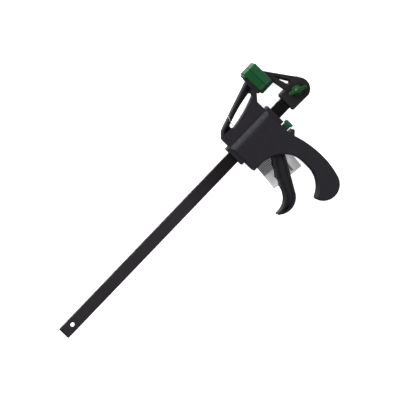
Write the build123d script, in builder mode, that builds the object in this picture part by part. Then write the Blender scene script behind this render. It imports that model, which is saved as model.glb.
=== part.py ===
"""One-handed quick release bar clamp, lying on its side.

X runs along the bar from its tail towards the fixed jaw, Y from the bar towards
the clamping pads, Z up out of the clamp's side. The origin is the centre of the
hanging hole in the bar's tail, in the middle plane of the whole clamp.
"""
import os
from math import cos, radians, sin, tan

from build123d import *

os.makedirs("parts", exist_ok=True)

# ---- driving dimensions, millimetres and degrees ----------------------------
bar_width = 16.0
bar_thickness = 5.0
bar_edge_radius = 0.5
bar_end_radius = 1.5
hang_hole_diameter = 5.4
tail_margin = 15.8            # tail end to the hanging hole's centre
max_opening = 300.0
throat_depth = 55.0           # bar to the pads' top edge

bar_clearance = 0.2           # each side, bar in its channel
part_clearance = 0.3          # between pieces that move past each other
seat_gap = 0.1                # between pieces that are pushed together
pin_clearance = 0.05          # radial running fit on pins and studs

housing_length = 63.2
housing_depth = 26.0
housing_floor = 29.1          # bar centreline down to the housing's lower edge
arch_radius = 39.5            # inside curve from the housing into the grip
grip_reach = 91.7             # housing floor down to the end of the grip
grip_width = 20.4
grip_overhang = 7.9           # back of the grip beyond the housing front
shoulder_start = 1.0          # where the side starts to round over the bar
shoulder_height = 11.9        # where the rounding meets the arm's base
hip_length = 3.0              # slope at each end of the housing's sides
hip_depth = 2.0
collar_length = 5.1
collar_half_height = 13.7
collar_depth = 18.0
collar_corner = 2.0
mould_round = 1.2             # general rounding of moulded edges
grip_round = 1.8

arm_depth = 15.0
arm_rim = 2.2                 # thickness of the rim around the moving arm
panel_recess = 0.8            # arm's panel below its rim
web_thickness = 3.6

pad_depth = 30.0
pad_height = 34.5
pad_thickness = 9.8
pad_corner = 11.0
pad_edge = 1.6
pad_face_edge = 0.5
hood_rise = 2.4               # pad's hood over the moving jaw plate
plate_drop = 6.5              # pad top down to the jaw plate's top
tongue_depth = 17.0           # tongues that the pads are pushed on to
tongue_height = 23.0
tongue_length = 4.0
plate_rim = 1.0               # jaw plate around its tongue
plate_thickness = 3.0
jaw_reach = 21.5              # housing front to the clamping plane

boss_length = 37.2
boss_half_height = 12.3
boss_depth = 18.0
boss_chamfer = 2.2
socket_length = 27.0
screw_diameter = 5.0
screw_offset = 1.5            # screw axis above the bar's centreline
screw_from_mouth = 20.2       # boss mouth to the screw axis
washer_diameter = 12.5
washer_thickness = 1.0
nut_across_flats = 8.0
nut_height = 4.0
knob_radius = 6.5
knob_height = 8.5
dome_radius = 5.4
skirt_height = 3.0
wing_reach = 11.8
wing_width = 4.6
wing_height = 6.5
wing_angle = -21.0

trigger_swing = 22.0          # full squeeze
trigger_depth = 20.0
trigger_rim = 2.6
trigger_web = 14.0
trigger_pin_diameter = 5.0
trigger_pin_seat = 1.4        # depth of the pin's blind seat in the near wall
trigger_boss_radius = 6.5
trigger_back_x = 8.1          # corner of the straight back, right of the pivot
trigger_back_drop = 20.3      # and below it
nose_radius = 3.0
nose_arm = 11.0               # pivot to the middle of the pushing nose
nose_depth = 14.0

drive_plate_thickness = 3.0
drive_plate_width = 17.0
drive_window_clearance = 0.25
drive_spring_wire = 1.6
drive_spring_coils = 5
chamber_radius = 10.5
chamber_depth = 20.8
drive_chamber_floor = 16.2

brake_thickness = 3.0
brake_width = 15.0
brake_tongue_width = 10.0
brake_cant = 7.0
brake_length = 36.0           # pivot to the plate's lower end
brake_fit = 0.12              # each side of the bar in the canted window
brake_spring_wire = 0.8
brake_spring_diameter = 6.4
brake_spring_coils = 4

tab_stem_height = 8.2
tab_stem_depth = 8.0
tab_cap_height = 10.6
tab_cap_depth = 12.0
tab_cap_thickness = 3.9
tab_block_height = 9.0        # inner block that the brake plate sits in
tab_reach = 10.3              # cap's outer face beyond the housing front

tag_width = 44.4
tag_height = 86.0
tag_thickness = 0.4
tag_tilt = -6.5
tag_hole_diameter = 4.0
tag_hole_margin = 6.0
loop_diameter = 0.8

# ---- places worked out from the sizes ---------------------------------------
half_bar = bar_width / 2
rear_collar_x = max_opening - tail_margin
housing_rear = rear_collar_x + collar_length
housing_front = housing_rear + housing_length
clamp_x = housing_front + jaw_reach
pad_top = half_bar + throat_depth
pad_floor = pad_top - pad_height
tongue_y = pad_top - plate_drop - tongue_height / 2
fixed_back_x = clamp_x + pad_thickness
moving_face_x = clamp_x - part_clearance
moving_back_x = moving_face_x - pad_thickness
moving_plate_x = moving_back_x - plate_thickness
channel_width = bar_width + 2 * bar_clearance
channel_thickness = bar_thickness + 2 * bar_clearance

boss_mouth_x = clamp_x + 2.4
boss_end_x = boss_mouth_x + boss_length
socket_end_x = boss_mouth_x + socket_length
bar_head_x = socket_end_x - part_clearance
screw_x = boss_mouth_x + screw_from_mouth
boss_top = boss_depth / 2
screw_bore_radius = screw_diameter / 2 + pin_clearance

grip_outer_x = housing_front + grip_overhang
grip_inner_x = grip_outer_x - grip_width
grip_end_y = -housing_floor - grip_reach

pivot_x, pivot_y = housing_rear + 32.7, -23.0
nose_x = pivot_x - 1.4
nose_y = pivot_y + nose_arm
plates_front_x = nose_x - nose_radius - part_clearance
drive_spring_seat_x = housing_rear + 4.7
guide_rear_x = pivot_x - 1.5
swing = radians(trigger_swing)
pocket_rear_x = pivot_x - 10.0
pocket_neck_x = pivot_x + trigger_boss_radius + 0.9
pocket_front_x = (
    pivot_x + trigger_back_x * cos(swing) + trigger_back_drop * sin(swing) + 2.0
)
chamber_ceiling = -(half_bar + 0.7)

brake_pivot_x, brake_pivot_y = housing_front - 13.0, 13.0
brake_chamber_rear_x = housing_front - 18.5
brake_chamber_front_x = housing_front - 4.0
brake_chamber_floor = 27.0
brake_chamber_ceiling = half_bar + 3.1
tab_y = -20.7

bar_side = Plane.YZ           # sketches across the bar: first axis Y, second Z


# ---- bar ---------------------------------------------------------------------
with BuildPart() as bar:
    with BuildSketch(bar_side.offset(-tail_margin)):
        RectangleRounded(bar_width, bar_thickness, bar_edge_radius)
    extrude(amount=tail_margin + bar_head_x)
    tail_corners = bar.edges().filter_by(Axis.Z).group_by(Axis.X)[0]
    fillet(tail_corners, bar_end_radius)
    with BuildSketch(Plane.XY):
        Circle(hang_hole_diameter / 2)
        with Locations((screw_x, screw_offset)):
            Circle(screw_diameter / 2 + bar_clearance)
    extrude(amount=bar_thickness, both=True, mode=Mode.SUBTRACT)
bar.part.label = "bar"
export_step(bar.part, "parts/bar.step")


# ---- fixed jaw ---------------------------------------------------------------
root_y = boss_half_height

with BuildPart() as fixed_jaw:
    with BuildSketch(Plane.XY):
        # boss around the bar's head
        with BuildLine():
            Polyline(
                (boss_end_x - 11.0, -boss_half_height - 0.6),
                (boss_mouth_x, -boss_half_height),
                (boss_mouth_x, boss_half_height - boss_chamfer),
                (boss_mouth_x + boss_chamfer, boss_half_height),
                (boss_end_x - 4.0, boss_half_height),
                (boss_end_x - 2.0, root_y - 3.7),
            )
            ThreePointArc(
                (boss_end_x - 2.0, root_y - 3.7),
                (boss_end_x, -1.5),
                (boss_end_x - 11.0, -boss_half_height - 0.6),
            )
        make_face()
        # arm that rises to the pad
        with BuildLine():
            Polyline(
                (boss_mouth_x + 10.4, 0),
                (boss_mouth_x + 10.4, root_y),
                (fixed_back_x, pad_floor + 0.4),
                (fixed_back_x, pad_floor + 20.4),
                (boss_end_x - 2.0, root_y - 3.7),
                (boss_end_x - 8.0, 0),
                close=True,
            )
        make_face()
    extrude(amount=boss_depth / 2, both=True)
    jaw_rims = fixed_jaw.faces().filter_by(Plane.XY).edges()
    fillet(jaw_rims, mould_round)

    # recess beside the outer rim, and the window through its lower end
    with BuildLine() as recess_line:
        Polyline(
            (boss_end_x - 19.2, root_y + 1.3),
            (boss_end_x - 22.7, root_y + 12.7),
            (boss_end_x - 24.4, root_y + 22.5),
            (boss_end_x - 22.6, root_y + 21.1),
            (boss_end_x - 14.0, root_y + 5.3),
            (boss_end_x - 15.0, root_y + 2.3),
            (boss_end_x - 16.8, root_y + 1.1),
            close=True,
        )
    for side in (1, -1):
        with BuildSketch(Plane.XY.offset(side * web_thickness / 2)):
            with BuildLine():
                add(recess_line.line)
            make_face()
        extrude(amount=side * boss_depth, mode=Mode.SUBTRACT)
    with BuildSketch(Plane.XY):
        with BuildLine():
            Polyline(
                (boss_end_x - 19.2, root_y + 1.3),
                (boss_end_x - 22.7, root_y + 12.7),
                (boss_end_x - 21.8, root_y + 13.1),
                (boss_end_x - 15.7, root_y + 2.9),
                (boss_end_x - 16.8, root_y + 1.1),
                close=True,
            )
        make_face()
    extrude(amount=boss_depth, both=True, mode=Mode.SUBTRACT)

    # tongue that the pad is pushed on to
    with BuildSketch(bar_side.offset(fixed_back_x - tongue_length)):
        with Locations((tongue_y, 0)):
            RectangleRounded(tongue_height, tongue_depth, 2.5)
    extrude(amount=tongue_length)

    # socket for the bar's head, screw bore and hexagonal nut pocket
    with BuildSketch(bar_side.offset(boss_mouth_x)):
        Rectangle(channel_width, channel_thickness)
    extrude(amount=socket_length, mode=Mode.SUBTRACT)
    with BuildSketch(Plane.XY):
        with Locations((screw_x, screw_offset)):
            Circle(screw_diameter / 2 + bar_clearance)
    extrude(amount=boss_depth, both=True, mode=Mode.SUBTRACT)
    with BuildSketch(Plane.XY.offset(-boss_top)):
        with Locations((screw_x, screw_offset)):
            RegularPolygon(nut_across_flats / 2 + seat_gap, 6, major_radius=False)
    extrude(amount=nut_height + seat_gap, mode=Mode.SUBTRACT)
fixed_jaw.part.label = "fixed_jaw"
export_step(fixed_jaw.part, "parts/fixed_jaw.step")


# ---- wing screw, its washer and its captive nut ------------------------------
with BuildPart() as jaw_nut:
    with BuildSketch(Plane.XY.offset(-boss_top)):
        with Locations((screw_x, screw_offset)):
            RegularPolygon(nut_across_flats / 2, 6, major_radius=False)
            Circle(screw_bore_radius, mode=Mode.SUBTRACT)
    extrude(amount=nut_height)
jaw_nut.part.label = "jaw_nut"
export_step(jaw_nut.part, "parts/jaw_nut.step")

with BuildPart() as knob_washer:
    with BuildSketch(Plane.XY.offset(boss_top)):
        with Locations((screw_x, screw_offset)):
            Circle(washer_diameter / 2)
            Circle(screw_bore_radius, mode=Mode.SUBTRACT)
    extrude(amount=washer_thickness)
knob_washer.part.label = "knob_washer"
export_step(knob_washer.part, "parts/knob_washer.step")

knob_base_z = boss_top + washer_thickness
stud_top_z = knob_base_z + knob_height - 2.0

with BuildPart() as wing_knob:
    with BuildSketch(Plane.XY.offset(knob_base_z + 0.8)):
        with Locations((screw_x, screw_offset)):
            SlotOverall(2 * wing_reach, wing_width, rotation=wing_angle)
    extrude(amount=wing_height)
    fillet(wing_knob.faces().sort_by(Axis.Z)[-1].edges(), mould_round)
    # skirt and dome, turned about the screw
    with BuildSketch(Plane.XZ.offset(-screw_offset)):
        with BuildLine():
            dome = TangentArc(
                (screw_x, knob_base_z + knob_height),
                (screw_x + dome_radius, knob_base_z + skirt_height),
                tangent=(1, 0),
            )
            Polyline(
                dome @ 1,
                (screw_x + knob_radius - 0.6, knob_base_z + skirt_height),
                (screw_x + knob_radius, knob_base_z + skirt_height - 0.6),
                (screw_x + knob_radius, knob_base_z),
                (screw_x, knob_base_z),
                dome @ 0,
            )
        make_face()
    revolve(axis=Axis((screw_x, screw_offset, 0), (0, 0, 1)))
    with BuildSketch(Plane.XY.offset(knob_base_z)):
        with Locations((screw_x, screw_offset)):
            Circle(screw_diameter / 2)
    extrude(amount=stud_top_z - knob_base_z, mode=Mode.SUBTRACT)
wing_knob.part.label = "wing_knob"
export_step(wing_knob.part, "parts/wing_knob.step")

with BuildPart() as knob_stud:
    with BuildSketch(Plane.XY.offset(-boss_top + seat_gap)):
        with Locations((screw_x, screw_offset)):
            Circle(screw_diameter / 2)
    extrude(amount=stud_top_z + boss_top - seat_gap)
    chamfer(knob_stud.edges().group_by(Axis.Z)[0], 0.5)
knob_stud.part.label = "knob_stud"
export_step(knob_stud.part, "parts/knob_stud.step")


# ---- pads --------------------------------------------------------------------
for node, face_x, back_x in (
    ("fixed_jaw_pad", clamp_x, fixed_back_x),
    ("moving_jaw_pad", moving_face_x, moving_back_x),
):
    backwards = 1 if back_x > face_x else -1
    with BuildPart() as pad:
        with BuildSketch(bar_side.offset(face_x)):
            with Locations((pad_top - pad_height / 2, 0)):
                outline = Rectangle(pad_height, pad_depth)
            fillet(outline.vertices().group_by(Axis.X)[0], pad_corner)
        extrude(amount=backwards * pad_thickness)
        back_face = pad.faces().filter_by(Axis.X).sort_by(Axis.X)[-1 if backwards > 0 else 0]
        fillet(back_face.edges(), pad_edge)
        clamping_face = pad.faces().filter_by(Axis.X).sort_by(Axis.X)[0 if backwards > 0 else -1]
        fillet(clamping_face.edges(), pad_face_edge)
        if node == "moving_jaw_pad":
            # hood over the top of the jaw plate
            hood_y = pad_top - plate_drop + plate_rim + seat_gap
            with BuildSketch(Plane.XY):
                with BuildLine():
                    Polyline(
                        (back_x - hood_rise, hood_y),
                        (back_x + pad_edge, hood_y),
                        (back_x + pad_edge, pad_top - pad_edge),
                        (back_x, pad_top - pad_edge),
                        close=True,
                    )
                make_face()
            extrude(amount=pad_depth / 2 - 2.5, both=True)
        # pocket for the jaw's tongue
        with BuildSketch(bar_side.offset(back_x)):
            with Locations((tongue_y, 0)):
                RectangleRounded(
                    tongue_height + 2 * seat_gap, tongue_depth + 2 * seat_gap, 2.5
                )
        extrude(amount=-backwards * (tongue_length + seat_gap), mode=Mode.SUBTRACT)
    pad.part.label = node
    export_step(pad.part, f"parts/{node}.step")


# ---- moving jaw: housing, grip and arm in one moulding -----------------------
with BuildPart() as moving_jaw_body:
    # housing and pistol grip, one profile of tangent arcs
    with BuildSketch(Plane.XY):
        with BuildLine():
            arch_start = (grip_inner_x - arch_radius, -housing_floor)
            arch_end = (grip_inner_x, -housing_floor - arch_radius)
            arch = TangentArc(arch_start, arch_end, tangent=(1, 0))
            inner = Line(arch @ 1, (grip_inner_x, arch_end[1] - 8.0))
            hollow = TangentArc(
                inner @ 1, (grip_inner_x - 19.6, grip_end_y + 13.9), tangent=inner % 1
            )
            toe = TangentArc(
                hollow @ 1, (grip_inner_x - 21.4, grip_end_y + 8.7), tangent=hollow % 1
            )
            heel = TangentArc(
                toe @ 1, (grip_outer_x - 4.2, grip_end_y + 12.0), tangent=toe % 1
            )
            palm = TangentArc(
                heel @ 1, (grip_outer_x + 0.5, grip_end_y + 37.5), tangent=heel % 1
            )
            back = TangentArc(
                palm @ 1, (grip_outer_x - 5.9, -housing_floor - 5.8), tangent=palm % 1
            )
            Polyline(
                back @ 1,
                (grip_outer_x - 0.6, -housing_floor - 0.7),
                (grip_outer_x - 1.1, -housing_floor + 0.9),
                (housing_front, -housing_floor + 1.1),
                (housing_front, shoulder_start),
                (housing_rear, shoulder_start),
                (housing_rear, -housing_floor),
                arch_start,
            )
        make_face()
    extrude(amount=housing_depth / 2, both=True)
    flat_sides = moving_jaw_body.faces().filter_by(Plane.XY)
    fillet(flat_sides.edges().filter_by(GeomType.CIRCLE), grip_round)

    # rounded barrel over the bar, hipped at both ends
    with BuildSketch(bar_side.offset(housing_rear)) as barrel:
        with BuildLine():
            crease_z = housing_depth / 2 - 4.6
            near_edge = Line(
                (shoulder_start, -housing_depth / 2), (shoulder_start, housing_depth / 2)
            )
            ThreePointArc(
                near_edge @ 1, (7.5, housing_depth / 2 - 1.4), (shoulder_height, crease_z)
            )
            Line((shoulder_height, crease_z), (shoulder_height, -crease_z))
            ThreePointArc(
                (shoulder_height, -crease_z), (7.5, 1.4 - housing_depth / 2), near_edge @ 0
            )
        make_face()
    extrude(amount=housing_length)

    # sloped ends of the sides, beside the collars
    hip_slope = hip_depth / hip_length
    for end_x, inwards in ((housing_rear, 1), (housing_front, -1)):
        with BuildSketch(Plane.XZ):
            for side in (1, -1):
                with BuildLine():
                    Polyline(
                        (end_x - inwards, side * (housing_depth / 2 - hip_depth - hip_slope)),
                        (end_x - inwards, side * housing_depth),
                        (
                            end_x + inwards * (hip_length + housing_depth / 2 / hip_slope),
                            side * housing_depth,
                        ),
                        close=True,
                    )
                make_face()
        extrude(amount=collar_half_height, both=True, mode=Mode.SUBTRACT)

    # base of the arm, arm with rims and web
    with BuildSketch(Plane.XY) as arm_outline:
        with BuildLine():
            Polyline(
                (housing_rear, half_bar),
                (housing_rear, 25.5),
                (housing_rear + 8.0, 33.1),
                (moving_plate_x, 53.7),
                (moving_plate_x, 36.1),
                (housing_front, 26.7),
                (housing_front, half_bar),
                close=True,
            )
        arm_face = make_face()
        rear_corners = arm_face.vertices().sort_by(Axis.X)[:3].sort_by(Axis.Y)[1:]
        fillet(rear_corners, 3.0)
    extrude(amount=arm_depth / 2, both=True)
    # panel inside the rim, and the deeper recess between the rim and the slot
    with BuildSketch(Plane.XY, mode=Mode.PRIVATE) as arm_panel:
        add(arm_outline.sketch)
        offset(amount=-arm_rim, kind=Kind.INTERSECTION)
        with BuildLine():
            Polyline(
                (housing_rear, 28.6),
                (housing_front, 22.9),
                (clamp_x, pad_floor),
                (clamp_x, pad_top),
                (housing_rear, pad_top),
                close=True,
            )
        make_face(mode=Mode.INTERSECT)
    with BuildSketch(Plane.XY, mode=Mode.PRIVATE) as arm_recess:
        add(arm_panel.sketch)
        with BuildLine():
            Polyline(
                (housing_rear, 24.0),
                (housing_rear + 21.5, 28.0),
                (housing_rear + 41.0, 34.6),
                (housing_rear + 62.0, 40.4),
                (clamp_x, 45.5),
                (clamp_x, pad_top),
                (housing_rear, pad_top),
                close=True,
            )
        make_face(mode=Mode.INTERSECT)
    for side in (1, -1):
        for recess, floor_z in (
            (arm_panel, arm_depth / 2 - panel_recess),
            (arm_recess, web_thickness / 2),
        ):
            with BuildSketch(Plane.XY.offset(side * floor_z)):
                add(recess.sketch)
            extrude(amount=side * arm_depth, mode=Mode.SUBTRACT)
    # leaf-shaped slot through the web
    with BuildSketch(Plane.XY):
        with BuildLine():
            left_low = (housing_rear + 21.6, 24.7)
            left_high = (housing_rear + 21.0, 31.0)
            right_low = (housing_rear + 63.2, 35.4)
            right_high = (housing_rear + 62.2, 41.1)
            ThreePointArc(left_low, (housing_rear + 43.6, 28.9), right_low)
            ThreePointArc(right_low, (housing_rear + 65.2, 38.4), right_high)
            ThreePointArc(right_high, (housing_rear + 43.0, 37.6), left_high)
            ThreePointArc(left_high, (housing_rear + 18.2, 27.8), left_low)
        make_face()
    extrude(amount=arm_depth, both=True, mode=Mode.SUBTRACT)

    # plate and tongue that carry the pad
    for plate_round, plate_length in (
        (plate_rim, plate_thickness),
        (0, plate_thickness + tongue_length),
    ):
        with BuildSketch(bar_side.offset(moving_plate_x)):
            with Locations((tongue_y, 0)):
                RectangleRounded(
                    tongue_height + 2 * plate_round, tongue_depth + 2 * plate_round, 2.5
                )
        extrude(amount=plate_length)

    # collars that guide the bar at both ends
    for collar_x in (rear_collar_x, housing_front):
        with BuildSketch(bar_side.offset(collar_x)):
            RectangleRounded(2 * collar_half_height, collar_depth, collar_corner)
        extrude(amount=collar_length)

    # channel for the bar
    with BuildSketch(bar_side.offset(rear_collar_x)):
        Rectangle(channel_width, channel_thickness)
    extrude(amount=housing_length + 2 * collar_length, mode=Mode.SUBTRACT)

    # drive chamber: round over the spring, square below for the plates
    with BuildSketch(bar_side.offset(drive_spring_seat_x)):
        Circle(chamber_radius)
        with Locations((-drive_chamber_floor, 0)):
            Rectangle(drive_chamber_floor, chamber_depth, align=(Align.MIN, Align.CENTER))
    extrude(amount=guide_rear_x - drive_spring_seat_x, mode=Mode.SUBTRACT)

    # pocket the trigger swings in, open at the bottom
    with BuildSketch(Plane.XY):
        with BuildLine():
            Polyline(
                (pocket_rear_x, chamber_ceiling),
                (pocket_rear_x, pivot_y - 37.0),
                (pocket_front_x, pivot_y - 37.0),
                (pocket_front_x, pivot_y - 18.0),
                (pocket_neck_x, pivot_y + 0.5),
                (pocket_neck_x, chamber_ceiling),
                close=True,
            )
        make_face()
    extrude(amount=chamber_depth / 2, both=True, mode=Mode.SUBTRACT)

    # brake chamber, with a narrow recess above the bar for the plate's tongue
    with BuildSketch(Plane.XY):
        with Locations((brake_chamber_rear_x, -brake_chamber_floor)):
            Rectangle(
                brake_chamber_front_x - brake_chamber_rear_x,
                brake_chamber_floor + brake_chamber_ceiling,
                align=(Align.MIN, Align.MIN),
            )
    extrude(amount=brake_width / 2 + part_clearance, both=True, mode=Mode.SUBTRACT)
    with BuildSketch(Plane.XY):
        with Locations((brake_pivot_x, brake_pivot_y)):
            Circle(brake_thickness / 2 + seat_gap)
        with Locations((brake_pivot_x, half_bar)):
            Rectangle(
                brake_thickness + 1.6, brake_pivot_y - half_bar,
                align=(Align.CENTER, Align.MIN),
            )
    extrude(amount=brake_tongue_width / 2 + part_clearance, both=True, mode=Mode.SUBTRACT)
    # front window that the release tab comes out of, and the trough it dips into
    for window_floor, window_start_x, window_end_x in (
        (brake_chamber_floor, brake_chamber_front_x - 1, housing_front),
        (brake_chamber_floor + 1.6, housing_front - 1, grip_outer_x),
    ):
        with BuildSketch(bar_side.offset(window_start_x)):
            with Locations((-window_floor, 0)):
                Rectangle(
                    window_floor - collar_half_height - 0.5,
                    brake_width + 2 * part_clearance,
                    align=(Align.MIN, Align.CENTER),
                )
        extrude(amount=window_end_x - window_start_x, mode=Mode.SUBTRACT)

    # seats of the trigger pin: through the far wall, blind in the near wall
    with BuildSketch(Plane.XY.offset(-housing_depth / 2 - 1)):
        with Locations((pivot_x, pivot_y)):
            Circle(trigger_pin_diameter / 2)
    extrude(
        amount=housing_depth / 2 + 1 + chamber_depth / 2 + trigger_pin_seat,
        mode=Mode.SUBTRACT,
    )
moving_jaw_body.part.label = "moving_jaw_body"
export_step(moving_jaw_body.part, "parts/moving_jaw_body.step")


# ---- trigger and its pin -----------------------------------------------------
def from_pivot(right, up):
    return (pivot_x + right, pivot_y + up)


with BuildPart() as trigger_pin:
    with BuildSketch(Plane.XY.offset(-housing_depth / 2 + seat_gap)):
        with Locations((pivot_x, pivot_y)):
            Circle(trigger_pin_diameter / 2)
    extrude(amount=housing_depth / 2 + chamber_depth / 2 + trigger_pin_seat - 2 * seat_gap)
    chamfer(trigger_pin.edges(), 0.4)
trigger_pin.part.label = "trigger_pin"
export_step(trigger_pin.part, "parts/trigger_pin.step")

with BuildPart() as trigger:
    with BuildSketch(Plane.XY) as trigger_outline:
        with BuildLine():
            boss_left = from_pivot(-trigger_boss_radius, 0)
            boss_right = from_pivot(trigger_boss_radius, 0)
            ThreePointArc(boss_left, from_pivot(0, trigger_boss_radius), boss_right)
            # straight back, then round the underside to the hooked tip
            Polyline(
                boss_right,
                from_pivot(trigger_back_x, -trigger_back_drop),
                from_pivot(-15.9, -60.6),
            )
            ThreePointArc(
                from_pivot(-15.9, -60.6), from_pivot(-31.0, -72.0), from_pivot(-49.1, -67.0)
            )
            ThreePointArc(
                from_pivot(-49.1, -67.0), from_pivot(-50.8, -65.5), from_pivot(-49.4, -64.0)
            )
            # hook, then three finger hollows up the front
            ThreePointArc(
                from_pivot(-49.4, -64.0), from_pivot(-35.5, -61.3), from_pivot(-27.6, -53.5)
            )
            ThreePointArc(
                from_pivot(-27.6, -53.5), from_pivot(-25.0, -48.5), from_pivot(-23.8, -43.0)
            )
            ThreePointArc(
                from_pivot(-23.8, -43.0), from_pivot(-20.3, -38.1), from_pivot(-19.8, -32.2)
            )
            ThreePointArc(
                from_pivot(-19.8, -32.2), from_pivot(-14.6, -26.5), from_pivot(-11.4, -19.5)
            )
            Polyline(from_pivot(-11.4, -19.5), from_pivot(-6.7, -14.1), boss_left)
        make_face()
    extrude(amount=trigger_depth / 2, both=True)
    # hollowed sides that leave a web inside a rim
    with BuildSketch(Plane.XY, mode=Mode.PRIVATE) as trigger_inner:
        add(trigger_outline.sketch)
        offset(amount=-trigger_rim, kind=Kind.INTERSECTION)
        with Locations(from_pivot(0, 0)):
            Circle(trigger_boss_radius + 3.0, mode=Mode.SUBTRACT)
    for side in (1, -1):
        with BuildSketch(Plane.XY.offset(side * trigger_web / 2)):
            add(trigger_inner.sketch)
        extrude(amount=side * trigger_depth, mode=Mode.SUBTRACT)
    # nose that pushes the drive plates
    with BuildSketch(Plane.XY):
        with Locations((nose_x, nose_y)):
            Circle(nose_radius)
            Rectangle(2 * nose_radius, nose_arm, align=(Align.CENTER, Align.MAX))
    extrude(amount=nose_depth / 2, both=True)
    with BuildSketch(Plane.XY):
        with Locations((pivot_x, pivot_y)):
            Circle(trigger_pin_diameter / 2 + pin_clearance)
    extrude(amount=trigger_depth, both=True, mode=Mode.SUBTRACT)
trigger.part.label = "trigger"
export_step(trigger.part, "parts/trigger.step")


# ---- drive plates and springs ------------------------------------------------
for number, node in enumerate(("drive_plate_front", "drive_plate_rear"), start=1):
    with BuildPart() as drive_plate:
        plate_x = plates_front_x - number * drive_plate_thickness
        with BuildSketch(bar_side.offset(plate_x)):
            Circle(chamber_radius - part_clearance)
            Rectangle(2 * chamber_radius, drive_plate_width, mode=Mode.INTERSECT)
            with Locations((part_clearance + 0.4 - drive_chamber_floor, 0)):
                Rectangle(
                    drive_chamber_floor, drive_plate_width, align=(Align.MIN, Align.CENTER)
                )
            Rectangle(
                bar_width + 2 * drive_window_clearance,
                bar_thickness + 2 * drive_window_clearance,
                mode=Mode.SUBTRACT,
            )
        extrude(amount=drive_plate_thickness)
    drive_plate.part.label = node
    export_step(drive_plate.part, f"parts/{node}.step")


def coil_spring(seat, length, outside_diameter, wire, coils):
    """Compression spring along X from its seat point."""
    lift = wire / 2 + seat_gap
    with BuildPart() as spring:
        with BuildLine() as coil:
            Helix(
                pitch=(length - 2 * lift) / coils,
                height=length - 2 * lift,
                radius=(outside_diameter - wire) / 2,
                center=(seat[0] + lift, seat[1], seat[2]),
                direction=(1, 0, 0),
            )
        with BuildSketch(Plane(origin=coil.line @ 0, z_dir=coil.line % 0)):
            Circle(wire / 2)
        sweep(is_frenet=True)
    return spring


drive_spring_length = (
    plates_front_x - 2 * drive_plate_thickness - drive_spring_seat_x
)
drive_spring = coil_spring(
    (drive_spring_seat_x, 0, 0),
    drive_spring_length,
    2 * (chamber_radius - part_clearance),
    drive_spring_wire,
    drive_spring_coils,
)
drive_spring.part.label = "drive_spring"
export_step(drive_spring.part, "parts/drive_spring.step")


# ---- brake plate, release tab and brake spring -------------------------------
cant = radians(brake_cant)
brake_plane = Plane(
    origin=(brake_pivot_x, brake_pivot_y, 0),
    x_dir=(0, 0, 1),
    z_dir=(cos(cant), sin(cant), 0),
)                             # local X is the clamp's Z, local Y runs down the plate
window_height = (bar_width + brake_thickness * sin(cant)) / cos(cant) + 2 * brake_fit
tongue_end = brake_pivot_y - brake_chamber_ceiling + part_clearance + 0.2

with BuildPart() as brake_plate:
    with BuildSketch(brake_plane):
        with Locations((0, tongue_end)):
            Rectangle(
                brake_width, brake_length - tongue_end, align=(Align.CENTER, Align.MIN)
            )
        Rectangle(
            brake_tongue_width, tongue_end, align=(Align.CENTER, Align.MIN)
        )
        with Locations((0, brake_pivot_y / cos(cant))):
            Rectangle(
                bar_thickness + 2 * drive_window_clearance, window_height,
                mode=Mode.SUBTRACT,
            )
    extrude(amount=brake_thickness / 2, both=True)
    # rounded upper end that rocks in the housing
    with BuildSketch(Plane.XY):
        with Locations((brake_pivot_x, brake_pivot_y)):
            Circle(brake_thickness / 2)
    extrude(amount=brake_tongue_width / 2, both=True)
brake_plate.part.label = "brake_plate"
export_step(brake_plate.part, "parts/brake_plate.step")

tab_block_rear = brake_chamber_rear_x + 5.6
tab_block_front = brake_chamber_front_x - 1.0
cap_outer_x = housing_front + tab_reach

with BuildPart() as release_tab:
    with BuildSketch(Plane.XY):
        with Locations((tab_block_rear, tab_y)):
            Rectangle(
                tab_block_front - tab_block_rear, tab_block_height,
                align=(Align.MIN, Align.CENTER),
            )
    extrude(amount=tab_cap_depth / 2, both=True)
    with BuildSketch(Plane.XY):
        with Locations((tab_block_front, tab_y)):
            Rectangle(
                cap_outer_x - tab_block_front, tab_stem_height,
                align=(Align.MIN, Align.CENTER),
            )
    extrude(amount=tab_stem_depth / 2, both=True)
    with BuildSketch(bar_side.offset(cap_outer_x - tab_cap_thickness)):
        with Locations((tab_y, 0)):
            RectangleRounded(tab_cap_height, tab_cap_depth, 1.5)
    extrude(amount=tab_cap_thickness)
    fillet(release_tab.faces().sort_by(Axis.X)[-1].edges(), 0.8)
    # pocket for the lower end of the brake plate
    with BuildSketch(brake_plane):
        with Locations((0, half_bar)):
            Rectangle(
                brake_width + 2 * seat_gap, brake_length - half_bar + seat_gap,
                align=(Align.CENTER, Align.MIN),
            )
    extrude(amount=brake_thickness / 2 + seat_gap, both=True, mode=Mode.SUBTRACT)
release_tab.part.label = "release_tab"
export_step(release_tab.part, "parts/release_tab.step")

spring_y = -half_bar - 4.4
plate_rear_x = (
    brake_pivot_x + (brake_pivot_y - spring_y) * tan(cant)
    - brake_thickness / 2 / cos(cant)
)
brake_spring_length = (
    plate_rear_x - brake_spring_diameter / 2 * tan(cant) - brake_chamber_rear_x
)
brake_spring = coil_spring(
    (brake_chamber_rear_x, spring_y, 0),
    brake_spring_length,
    brake_spring_diameter,
    brake_spring_wire,
    brake_spring_coils,
)
brake_spring.part.label = "brake_spring"
export_step(brake_spring.part, "parts/brake_spring.step")


# ---- blank hang tag on its nylon loop ----------------------------------------
tag_corner = (housing_rear + 2.7, -housing_floor - 37.1)
tag_plane = Plane(
    origin=(*tag_corner, -housing_depth / 2 - part_clearance - tag_thickness)
).rotated((0, 0, tag_tilt))

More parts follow.
